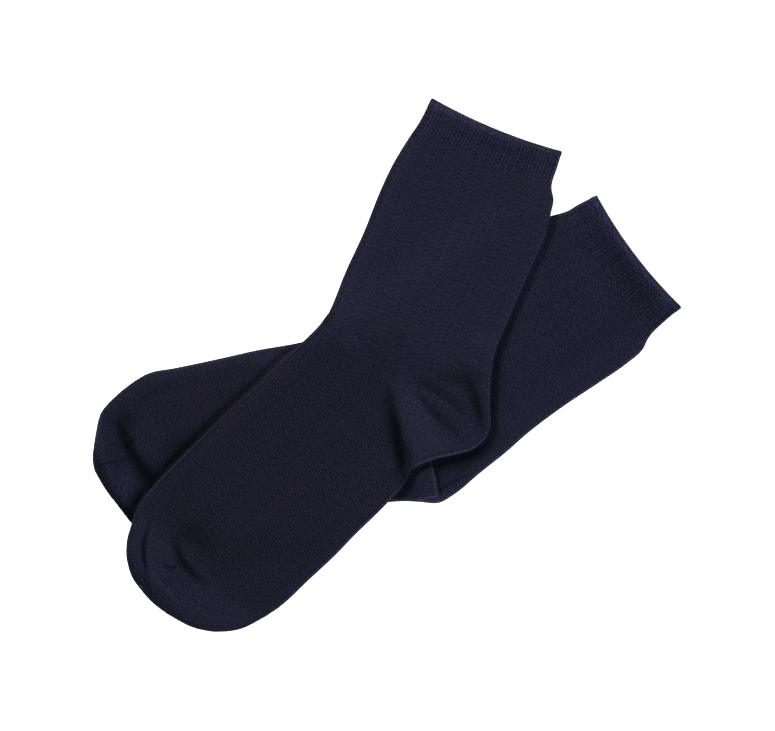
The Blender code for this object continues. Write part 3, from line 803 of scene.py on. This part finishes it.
def apply_tree(piece, tree, **values):
    """Runs a tree on a piece with its named inputs and keeps the result as a plain mesh."""
    modifier = piece.modifiers.new(tree.name, "NODES")
    modifier.node_group = tree
    named = {name.replace("_", " "): value for name, value in values.items()}
    for socket in tree.interface.items_tree:
        if socket.in_out == "INPUT" and socket.name in named:
            modifier[socket.identifier] = named[socket.name]
    made = plain_mesh(piece)
    piece.modifiers.remove(modifier)
    piece.data = made
    made.name = piece.name


RIDGES = raised_ridges()
WALE_RISE = 0.45       # how far a column of stitches stands out


def raise_columns(piece, where, material, wales=1.0, height=WALE_RISE):
    """Stands out ridges of so many stitch columns, as far as the piece's numbers of that name say."""
    apply_tree(piece, RIDGES, Wales_in_a_ridge=wales, Height=height * MM, Where=where, Cloth=material)


def new_material(name):
    """A material, its shader, and a wire to build its tree from."""
    material = bpy.data.materials.new(name)
    material.use_nodes = True
    return material, material.node_tree.nodes["Principled BSDF"], Wire(material.node_tree)


JERSEY_NAVY = (0.0166, 0.0203, 0.0410, 1.0)     # yarn on the crown of a stitch
JERSEY_GAP_SHADE = (0.0006, 0.0006, 0.0014, 1.0)     # painted shade between the stitches
JERSEY_PLUM = (0.0205, 0.0183, 0.0370, 1.0)     # where the dye took warmer
LEG_SLANT = 0.85       # rows that a leg of a stitch climbs from the middle of its column


def stitch_height(base, wale, course, clear):
    """A map of plain knit: in each column, yarn in two slanting legs that meet in a V.

    clear is how well the columns show. With the map comes the column and row of each stitch.
    """
    across = base.maths("ABSOLUTE", base.maths("FRACT", wale) - 0.5) * 2  # 1 at a column's sides
    leg = 1 - base.maths("ABSOLUTE", across * 2 - 1)
    climb = course + across * LEG_SLANT
    strand = base.maths("SINE", base.maths("FRACT", climb) * np.pi)
    height = (1 - clear * across ** 1.6) * (0.7 + 0.3 * leg) * (0.5 + 0.5 * strand)
    number = base.node("ShaderNodeCombineXYZ", {
        0: base.maths("FLOOR", wale),
        1: base.maths("FLOOR", climb),
    })
    return height, number


def knit_cloth(name, crown, gap_shade, warm, speckle, stripe):
    """Matte cotton knit: V stitches in columns, uneven yarn and a soft nap.

    The three colours are those of the yarn, of the painted shade in the gaps and of a warmer dye.
    speckle is how much the stitches differ in tone, and stripe how much the columns do.
    """
    material, shader, base = new_material(name)
    knit = base.node("ShaderNodeUVMap", uv_map="knit")
    wale, course = (base.node("ShaderNodeSeparateXYZ", {"Vector": knit}, axis) for axis in (0, 1))
    place = base.node("ShaderNodeTexCoord", None, 3)
    hollow, worn, on_foot, clear = (
        base.node("ShaderNodeAttribute", None, 2, attribute_name=number)
        for number in ("hollow", "worn", "foot", "clear")
    )

    height, number = stitch_height(base, wale, course, clear)
    below = base.node("ShaderNodeVectorMath", {0: number, 1: (0, 1, 0)}, operation="ADD")
    stitch, next_stitch = (
        base.node("ShaderNodeTexWhiteNoise", {"Vector": spot}, noise_dimensions="2D")
        for spot in (number, below)
    )
    column = base.node("ShaderNodeTexWhiteNoise", {"W": base.maths("FLOOR", wale)}, noise_dimensions="1D")
    fibre, cloud = (
        base.node("ShaderNodeTexNoise",
                  {"Vector": place, "Scale": scale, "Detail": 3.0, "Roughness": roughness})
        for scale, roughness in ((900.0, 0.7), (45.0, 0.6))
    )
    # Dark between the stitches, columns and rows: painted shade, mixed towards the gaps' colour.
    light = 0.1 + 0.9 * height
    light = light * (1 + speckle * (stitch - next_stitch) + stripe * (column - 0.5))
    light = light * (0.75 + 0.5 * fibre)
    evened = 1.22 - 0.47 * clear  # makes up for the painted shade between columns that show well
    # Painted highlight on the folds and hem, and painted shade in creases and beside the other sock.
    light = light * (1 + worn) * (1 - hollow) * (1 - 0.25 * on_foot) / evened
    dye = base.node("ShaderNodeMix", {0: cloud * 1.6 - 0.35 + 0.3 * on_foot, 6: crown, 7: warm}, 2,
                    data_type="RGBA")
    feed(shader, {
        "Base Color": base.node("ShaderNodeMix", {0: light, 6: gap_shade, 7: dye}, 2,
                                data_type="RGBA", clamp_factor=False),
        "Normal": base.node("ShaderNodeBump", {
            "Strength": 0.8, "Distance": 0.25 * MM, "Height": height + 0.35 * fibre}),
        "Roughness": 0.95,
        "Specular IOR Level": 0.03,
        "Sheen Weight": 0.02,
        "Sheen Roughness": 0.4,
        "Sheen Tint": (0.55, 0.6, 1.0, 1.0),
    })
    return material


jersey = knit_cloth("navy jersey", JERSEY_NAVY, JERSEY_GAP_SHADE, JERSEY_PLUM, speckle=0.62, stripe=0.18)
LOWER_CLEAR = (0.85, 0.6)  # how well the columns show on its leg, a little stretched, and its foot

lower_body = body_shell(
    lower_sock, LOWER_GORE, LOWER_TOE, pressed, pressed_shade, lying_flat,
    crowded=(  # at the lip of the heel, and on the toe
        (lower_sock.knots[LOWER_GORE] - 3.5, lower_sock.knots[LOWER_GORE] + 1.0, 5.0),
        (lower_sock.knots[LOWER_TOE], lower_sock.knots[-1], 1.5),
    ),
    clear=LOWER_CLEAR,
).make("lower_sock_jersey")
raise_columns(lower_body, "raised", jersey)
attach(lower_body, "root")
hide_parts("lower_sock_leg_and_foot")

# ---------------------------------------------------------- the lower sock, cuff
# A band of one-by-one rib, 84 ribs round, knitted first with elastic in it.
# Its edge is turned over and knitted in, which makes a smooth plump hem.
RIB_WALL = 1.4         # one layer of the rib cuff
RIB_FLAT = 3.8         # the flattened cuff
RIB_NAVY = (0.0172, 0.0206, 0.0415, 1.0)
# painted shade between the rib's stitches
RIB_GAP_SHADE = (0.0008, 0.0008, 0.0018, 1.0)
RIB_PLUM = (0.0200, 0.0186, 0.0378, 1.0)
RIB_HEIGHT = 0.36      # how far a rib stands out
RIB_CLEAR = 0.85       # how well its stitch columns show
RIB_FADE = 6.0         # the ribs flatten out over this stretch before the leg
HEM = 3.4              # depth of the plain hem at the turned edge
HEM_END = 1.5          # the ribs begin over this stretch
HEM_HIGHLIGHT = 0.9         # how strong the highlight painted on the hem is
HEM_FADE = (4.3, 2.8)  # growing between these depths
BAND_HIGHLIGHT = 0.12       # and the painted highlight on the ribs beside it
BAND_FADE = (8.0, 6.0)
CUFF_COLUMNS = (FACE_WALES * 4, FACE_WALES, FOLD_WALES * 3)
CUFF_RINGS = 40        # of its outer side
CUFF_INNER_RINGS = 8
CUFF_TURN = 9          # rings over its edge, with one on each side
CUFF_SHOWS = (0.9, 0.5)  # ribs and the painted highlight fade in over the edge between these shares of the wall


class CuffRing(NamedTuple):
    """A ring of the cuff, counted from the turned edge."""

    depth: float  # distance from the edge, as a share of the cuff's depth
    rise: float   # of the upper layer
    bow: float    # how far the middle of the ring hangs back towards the toe


LOWER_CUFF = (
    CuffRing(0, -0.5, 2.8),
    CuffRing(0.05, 0.4, 2.8),
    CuffRing(0.16, 0.6, 2.7),
    CuffRing(0.4, -0.3, 2.4),
    CuffRing(0.68, 0.1, 1.6),
    CuffRing(1, 0, SEAM_BOW),
)
# The shade column paints shade into the colour; below zero it paints light.
LOWER_CUFF_FOLDS = (
    Fold((119, 80), (142, 47), (157, 25), -1.2, 0.12, 4, 5, 1.6),  # dent beside the hem
    Fold((112, 86), (138, 44), (155, 18), 0, 0.2, 6, 6, 1.4),
    Fold((170, 38), (157, 24), (146, 12), 0, 0.42, 3),  # shaded edge of the cuff
    Fold((119, 90), (136, 66.5), (154, 44), 0, -0.2, 3),
)


def cuff_shell(sock, cuff_rings, folds, underside, clear):
    """The cuff in one shell: up the outside, over the turned edge and down the inside."""
    depth = sock.knots[CUFF_ROWS]
    half = RIB_WALL / 2
    over = np.radians(np.linspace(-90, 90, CUFF_TURN))[1:-1]
    outside = np.linspace(depth, half, CUFF_RINGS)
    inside = np.linspace(half, depth, CUFF_INNER_RINGS)
    where = np.concatenate([outside, half * (1 - np.cos(over)), inside])
    inset = np.concatenate([0 * outside, half * (1 + np.sin(over)), 0 * inside + RIB_WALL])
    tilt = np.concatenate([0 * outside, over + np.pi / 2, 0 * inside + np.pi])[:, None, None]
    table = np.array(cuff_rings, float)
    wave, bow = through(table[:, 0], table[:, 1:], where / depth).T
    thinner = (RIB_FLAT - JERSEY_FLAT) * ramp(where, depth - RIB_FADE, depth)

    def folded(x, y):
        rise = wave[:, None] + over_folds(folds, x, y, "rise")
        return kept_above(LEAST_AIR - RIB_FLAT + 2 * RIB_WALL, rise)

    cut = sock.cut(where)
    tube = flat_tube(cut, inset, inset, RIB_FLAT - thinner - inset, CUFF_COLUMNS, bow, folded)
    points = lifted(tube.points, underside)
    outwards = -np.column_stack([cut.onward, 0 * where])[:, None]
    away = tube.away * np.cos(tilt) + outwards * np.sin(tilt)
    hem = ramp(where, HEM + HEM_END, HEM)
    outer = ramp(inset / RIB_WALL, *CUFF_SHOWS)
    past_leg = ramp(depth - where, 0, RIB_FADE)
    ribbed = (1 - hem) * past_leg
    # Painted highlight on the hem and on the ribs beside it.
    hem_highlight = HEM_HIGHLIGHT * ramp(where, *HEM_FADE) + BAND_HIGHLIGHT * ramp(where, *BAND_FADE)
    plain = hem + clear * (1 - past_leg)
    shell = Shell()
    ids = shell.add_points(
        points,
        away,
        around=tube.ahead,
        plain_raised=tube.open_up * (plain * outer)[:, None],
        rib_raised=tube.open_up * (ribbed * outer)[:, None],
        worn=np.maximum(tube.worn * outer[:, None], (hem_highlight * outer)[:, None] * tube.open_up),
        hollow=over_folds(folds, points[..., 0], points[..., 1], "shade") * tube.open_up,
        foot=0,
        clear=(clear + (RIB_CLEAR - clear) * ribbed)[:, None],
    )
    shell.add_skin(ids, tube.ahead, tube.behind, -length_along(tube.points), outward=False)
    first, last = ids[0].tolist(), ids[-1].tolist()
    shell.add_rim(laced(last + last[:1], first + first[:1], np.concatenate(shell.points)))
    return shell


rib = knit_cloth("navy rib", RIB_NAVY, RIB_GAP_SHADE, RIB_PLUM, speckle=0.8, stripe=0.35)
lower_cuff = cuff_shell(
    lower_sock, LOWER_CUFF, LOWER_CUFF_FOLDS, lying_flat, LOWER_CLEAR[0]).make("lower_sock_rib")
raise_columns(lower_cuff, "plain_raised", rib)
raise_columns(lower_cuff, "rib_raised", rib, 2.0, RIB_HEIGHT)
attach(lower_cuff, "root")
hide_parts("lower_sock_cuff")

# ------------------------------------------------ the upper sock, leg and foot
# The same sock again, laid across the first one with its heel pocket spread out
# beside the foot. The pocket is puffed up and a deep crease parts it from the sole.
LYING_GAP = 0.3        # between the two socks where one lies on the other
CLIMB = 26.0           # how far out the upper sock starts to rise over the lower
CLIMB_MARGIN = 1.0     # it is at full height this far outside the lower one's edge
UPPER_GORE = 13        # the row along which the leg's stitches meet the foot's
UPPER_TOE = 23         # the row from which the toe narrows
UPPER_STRAIGHT = (-0.751, -0.660)  # the way its foot's columns run to the toe
UPPER_CLEAR = (0.46, 1.0)  # how well the columns show on its leg, and on its stretched foot
# The shade column paints shade into the colour, in creases and on shaded edges; below zero it paints
# light.
UPPER_FOLDS = (
    Fold((9.8, -12.9), (24.4, -28), (45.6, -46.5), 3.2, 0, 6.5, 14),  # heel pocket, puffed up
    Fold((36.7, -7.3), (40, -22.4), (42.3, -36.4), 1.8, 0, 10, 12),
    Fold((16.5, -16.2), (20.4, -33), (23.8, -52.1), 0, -0.3, 8),  # painted light on the flank of the pocket
    Fold((2, -10.6), (8.1, -36.4), (11.5, -72.2), -2.8, 0, 2.6, 5.5),  # crease beside the pocket
    Fold((1.4, -11.8), (6.3, -40), (11.4, -78), 0, 0.62, 2.2, 4.4),
    Fold((4.2, -28), (9.2, -47.6), (11.8, -68), 0, 0.55, 3, 4.4),
    Fold((10.5, -42), (13.4, -53), (13.2, -64), 0, 0.4, 2.4, 2.2),
    Fold((18.8, -16.7), (29.4, -28.4), (44.5, -40.8), -2.3, 0.48, 3.2, 2.2, 1.1),  # across the pocket
    Fold((21.6, -12.8), (35.6, -22.8), (56.3, -38), 1.6, -0.15, 3.4, 3.2),
    Fold((19.9, -9), (32.2, -17.4), (47.3, -28.6), -2.2, 0.38, 3.6, 2.4),
    Fold((44, -10.1), (51.2, -20.7), (54.6, -36.4), -1.6, 0.3, 2.6, 3.8),
    Fold((43, -1), (50.5, -20), (54.4, -42), 0, 0.38, 4, 3.8),
    Fold((12, -6), (22, -12), (30, -19), 0, 0.16, 4),
    Fold((26, -4), (40, -8), (56, -5), 0, 0.34, 5, 4),
    Fold((46, 16), (54, 13), (60, 10), 0, -0.16, 4),
    Fold((33, -19), (40, -26), (44, -35), 0, 0.16, 3),
    Fold((-4, 16), (4, 15), (12, 15), 0, 0.14, 5),
    Fold((27, -43.5), (36, -48), (48, -43), 0, -0.28, 5, 3),
    Fold((30, -30), (40, -34.5), (50, -41), 0, -0.18, 2.2),
    Fold((17, 148), (-11, 78), (-34, 30), 0, 0.36, 2.4),  # shaded edge of the leg
    Fold((-29, 40), (-34, 27), (-41, 19), 0, 0.52, 4),
    Fold((-44, 16), (-90, -28), (-140, -84), 0, 0.28, 2.4),  # shaded edge of the foot
    Fold((-8, -40), (-20, -75), (-48, -112), 0, -0.1, 20),  # broad lights and shades on the foot
    Fold((-3, -52), (-18, -94), (-60, -134), 0, -0.12, 6),
    Fold((-125, -60), (-110, -80), (-90, -100), 0, 0.1, 18),
    Fold((-14, 18), (8, 4), (34, -4), 0, 0.14, 9),
    Fold((-14, 15.5), (-3.6, 4.5), (9, -9), -1.2, 0.15, 4, 2.4),  # crease at the ankle
    Fold((-32, 25), (-27, 19), (-19, 15), -0.7, 0.1, 4),
    Fold((-46, 16), (-39, 16), (-31, 11), 0.6, -0.1, 5),
    Fold((-117.6, -98), (-111.9, -111.9), (-99.8, -123.4), -1.8, 0.76, 1.5, 2, 1.1),  # over the toes
    Fold((-113.4, -95.8), (-105.6, -105.3), (-96.6, -114.8), 1.1, -0.15, 4.5, 3),
    Fold((-123.5, -100.8), (-120.1, -113.7), (-110, -126), 0.9, 0, 6),  # toe cap behind the crease
    Fold((-117, -86), (-107, -96), (-92, -104), 0, 0.35, 8),
    Fold((-130.5, -88), (-135.2, -102), (-133, -118.5), -1.3, 0.62, 1.2, 1.4),
    Fold((-135.5, -103), (-135, -110.5), (-133, -118), 0, 0.35, 0.9),
    Fold((-138, -80), (-142.5, -89), (-145.5, -99), 0, 0.35, 2),
    Fold((-145, -97), (-139.5, -122), (-108, -147), 0, 0.5, 4.5),  # shaded edge of the toe
    Fold((-132.4, -109.2), (-128, -115.9), (-121.2, -122.6), 0.5, -0.1, 2.4),
    Fold((-136, -114.4), (-126.2, -122.3), (-117, -133), 0.5, -0.5, 0.8),  # toe seam's ridge
    Fold((-134, -116.6), (-127.2, -120.2), (-121, -124), -0.5, 0.42, 0.8, 0.7),
    Fold((-136, -117), (-133.8, -121.5), (-131, -127), -0.5, 0.3, 1.6, 1.4),
    Fold((-130, -130), (-110, -147), (-70, -144), -0.2, 0.18, 3),
    Fold((-125, -110.4), (-119.8, -114.4), (-116.2, -109.8), -0.6, 0.45, 0.8),
    Fold((-60, -30), (-44, -42), (-26, -50), 0.4, 0, 9),
    Fold((6, 96), (34, 66), (70, 60), 0.4, 0, 10, 12),
    Fold((-8, 50), (20, 38), (50, 30), -0.35, 0, 8),
)


def climb(x, y):
    """Height of the upper sock's underside as it passes over the lower one."""
    full = JERSEY_FLAT + max(row.crown for row in LOWER_ROWS) + LYING_GAP
    out = -inside_by(lower_sock.outline(), x, y) - CLIMB_MARGIN
    return full * ramp(out, CLIMB, 0)


def creased(x, y):
    return over_folds(UPPER_FOLDS, x, y, "rise")


# Shade painted into the upper sock's colour along its creases, and light where it is below zero.
def creased_shade(x, y):
    return np.minimum(over_folds(UPPER_FOLDS, x, y, "shade"), DEEPEST_SHADE)


upper_body = body_shell(
    upper_sock, UPPER_GORE, UPPER_TOE, creased, creased_shade, climb,
    crowded=(  # on the heel pocket, and on the toe
        (upper_sock.knots[UPPER_GORE - 4], upper_sock.knots[UPPER_GORE + 4], 1.4),
        (upper_sock.knots[UPPER_TOE], upper_sock.knots[-1], 1.5),
    ),
    clear=UPPER_CLEAR,
    straight=UPPER_STRAIGHT,
).make("upper_sock_jersey")
raise_columns(upper_body, "raised", jersey)
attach(upper_body, "root")
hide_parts("upper_sock_leg_and_foot")

# ---------------------------------------------------------- the upper sock, cuff
# The same rib band with its turned hem. It lies nearly level, with one shallow
# dent along the foot of the hem.
UPPER_CUFF = (
    CuffRing(0, -0.5, 2.3),
    CuffRing(0.06, 0.3, 2.3),
    CuffRing(0.16, 0.5, 2.2),
    CuffRing(0.3, -0.1, 2),
    CuffRing(0.55, 0.2, 1.6),
    CuffRing(1, 0, SEAM_BOW),
)
# The shade column paints shade into the colour; below zero it paints light.
UPPER_CUFF_FOLDS = (
    Fold((32, 138), (60, 123), (86, 113), -0.9, 0.1, 2.6, 3),
    Fold((30, 156), (19.5, 138), (7, 113), 0, 0.42, 2.6),  # shaded edge of the cuff
    Fold((34, 143), (58, 131), (86, 120), 0, -0.1, 2.4),
)
upper_cuff = cuff_shell(
    upper_sock, UPPER_CUFF, UPPER_CUFF_FOLDS, climb, UPPER_CLEAR[0]).make("upper_sock_rib")
raise_columns(upper_cuff, "plain_raised", rib)
raise_columns(upper_cuff, "rib_raised", rib, 2.0, RIB_HEIGHT)
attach(upper_cuff, "root")
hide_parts("upper_sock_cuff")

# ------------------------------------------------------------------- toe seams
# Each toe is closed by one linked seam, a row of short slanting threads across the
# end of the foot. A yarn end and a fleck of lint lie loose beside the upper one.
THREAD = 0.22          # half the thickness of the linking yarn
LINK_PITCH = 1.15      # one link to each stitch column
LINK_LENGTH = 1.0      # half the length of a link
LINK_SLANT = 0.35      # how far a link leans along the seam for its length across it
UPPER_SEAM = ((-141.4, -105.3), (-134.7, -115.4), (-120.1, -129.9), (-110, -138.9))
LOWER_SEAM = ((-158.2, -24.6), (-150.9, -34.7), (-143.1, -46.5))
YARN_END = ((-124, -111), (-121.4, -112.7), (-118.8, -113.3), (-116.9, -112.2), (-116.4, -110))
LINT = ((-138.1, -124.0), (-137.2, -124.6), (-136.9, -125.6))


def linked_seam():
    """A Geometry Nodes tree that lays short slanting threads side by side along a path."""
    tree, (path, pitch, length, thickness, slant, seed, yarn) = new_tree(
        "linked_seam", Geometry="Geometry", Pitch="Float", Length="Float", Thickness="Float",
        Slant="Float", Seed="Int", Yarn="Material")
    base = Wire(tree)
    curve = base.node("GeometryNodeMeshToCurve", {"Mesh": path})
    spaced = base.node("GeometryNodeResampleCurve", {"Curve": curve, "Length": pitch}, mode="LENGTH")
    along = base.node("GeometryNodeInputTangent")
    across = base.node("ShaderNodeVectorMath", {0: along, 1: (0, 0, 1)}, operation="CROSS_PRODUCT")
    leaning = base.node("ShaderNodeVectorMath", {"Vector": along, "Scale": slant}, operation="SCALE")
    way = base.node("ShaderNodeVectorMath", {0: across, 1: leaning}, operation="ADD")
    turned = base.node("FunctionNodeAlignRotationToVector", {"Vector": way}, axis="X")
    uneven = base.node("FunctionNodeRandomValue", {2: 0.75, 3: 1.2, "Seed": seed}, 1)
    size = base.node("ShaderNodeCombineXYZ", {0: length * uneven, 1: thickness, 2: thickness})
    link = base.node("GeometryNodeMeshUVSphere", {"Segments": 8, "Rings": 6, "Radius": 1.0})
    rounded = base.node("GeometryNodeSetShadeSmooth", {"Geometry": link})
    links = base.node("GeometryNodeInstanceOnPoints", {
        "Points": spaced, "Instance": rounded, "Rotation": turned, "Scale": size})
    return closed_tree(tree, links, yarn)


def cotton_yarn(name, colour, dark):
    """Twisted cotton, matte, with a fine uneven tone."""
    material, shader, base = new_material(name)
    place = base.node("ShaderNodeTexCoord", None, 3)
    fibre = base.node("ShaderNodeTexNoise", {"Vector": place, "Scale": 2500.0, "Detail": 2.0})
    feed(shader, {
        "Base Color": base.node("ShaderNodeMix", {0: fibre, 6: dark, 7: colour}, 2, data_type="RGBA"),
        "Normal": base.node("ShaderNodeBump", {"Strength": 0.6, "Distance": 0.1 * MM, "Height": fibre}),
        "Roughness": 0.95,
        "Specular IOR Level": 0.03,
    })
    return material


def laid_on(cloth, route, lift, samples=60):
    """A smooth line through a route's points, laid on the upper side of a piece."""
    surface = BVHTree.FromPolygons(
        [v.co for v in cloth.data.vertices], [f.vertices for f in cloth.data.polygons])
    route = np.array(route, float)
    run = np.concatenate([[0], np.cumsum(np.linalg.norm(np.diff(route, axis=0), axis=1))])
    line = through(run, route, np.linspace(0, run[-1], samples)) + CENTRING[:2]
    points = []
    for x, y in line * MM:
        hit = surface.ray_cast(Vector((x, y, 1)), Vector((0, 0, -1)))[0]
        if hit is not None:
            points.append(hit + Vector((0, 0, lift * MM)))
    return points


def stitched(name, points, seed, material):
    """Links along a line of points, as a plain mesh."""
    mesh = bpy.data.meshes.new(name)
    mesh.from_pydata(points, [(i, i + 1) for i in range(len(points) - 1)], [])
    piece = placed(name, mesh)
    apply_tree(piece, LINKS, Pitch=LINK_PITCH * MM, Length=LINK_LENGTH * MM, Thickness=THREAD * MM,
               Slant=LINK_SLANT, Seed=seed, Yarn=material)
    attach(piece, "root")


LINKS = linked_seam()
yarn = cotton_yarn("navy linking yarn", (0.03, 0.033, 0.06, 1), (0.01, 0.011, 0.022, 1))
# Painted shade: the same yarn darker, for the lower seam that lies in its crease and for the loose yarn
# end.
yarn_in_painted_shade = cotton_yarn("linking yarn in painted shade", (0.008, 0.0085, 0.017, 1), (0.002, 0.002, 0.0045, 1))
stitched("upper_sock_toe_seam", laid_on(upper_body, UPPER_SEAM, 0.05), 3, yarn)
stitched("lower_sock_toe_seam", laid_on(lower_body, LOWER_SEAM, -0.1), 5, yarn_in_painted_shade)


def loose_thread(name, points, thickness, material):
    """A single thread along a line of points, closed at its ends, as a plain mesh."""
    curve = bpy.data.curves.new(name, "CURVE")
    curve.dimensions = "3D"
    curve.bevel_depth = thickness / 2 * MM
    curve.bevel_resolution = 2
    curve.use_fill_caps = True
    spline = curve.splines.new("POLY")
    spline.points.add(len(points) - 1)
    for point, place in zip(spline.points, points):
        point.co = (*place, 1)
    strand = placed(name, curve)
    mesh = plain_mesh(strand)
    bpy.data.objects.remove(strand)
    mesh.materials.clear()
    mesh.materials.append(material)
    piece = placed(name, mesh)
    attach(piece, "root")


lint = cotton_yarn("pale lint", (0.2, 0.2, 0.25, 1), (0.09, 0.09, 0.13, 1))
loose_thread("upper_sock_yarn_end", laid_on(upper_body, YARN_END, 0.15, 24), 0.45, yarn_in_painted_shade)
loose_thread("upper_sock_lint", laid_on(upper_body, LINT, 0.12, 8), 0.2, lint)

# ------------------------------------------------------------- table and light
# A plain white table and soft light from all round, stronger from the upper left
# and a little from below, as in a studio with large diffusers.
TABLE = 12.0           # width of the table, in metres

bpy.ops.mesh.primitive_plane_add(size=TABLE, location=(0, 0, -0.1 * MM))
table = bpy.context.active_object
table.name = "table"
paint, shader, _ = new_material("white table")
feed(shader, {
    "Base Color": (0.86, 0.86, 0.86, 1),
    "Roughness": 0.9,
    "Emission Color": (1, 1, 1, 1),
    "Emission Strength": 1.0,
})
table.data.materials.append(paint)

world = bpy.data.worlds.new("studio")
world.use_nodes = True
feed(world.node_tree.nodes["Background"], {"Color": (1, 1, 1, 1), "Strength": 0.5})
bpy.context.scene.world = world


def soft_light(name, place, size, power):
    """A square diffuser that faces the socks."""
    lamp = bpy.data.lights.new(name, "AREA")
    lamp.size = size
    lamp.energy = power
    holder = placed(name, lamp)
    holder.location = place
    holder.rotation_euler = (-Vector(place)).to_track_quat("-Z", "Y").to_euler()


soft_light("main diffuser", (-0.95, 0.95, 0.87), 0.5, 30.0)
soft_light("filling diffuser", (0.0, -1.34, 0.87), 0.5, 11.0)

bpy.context.scene.view_settings.view_transform = "Standard"
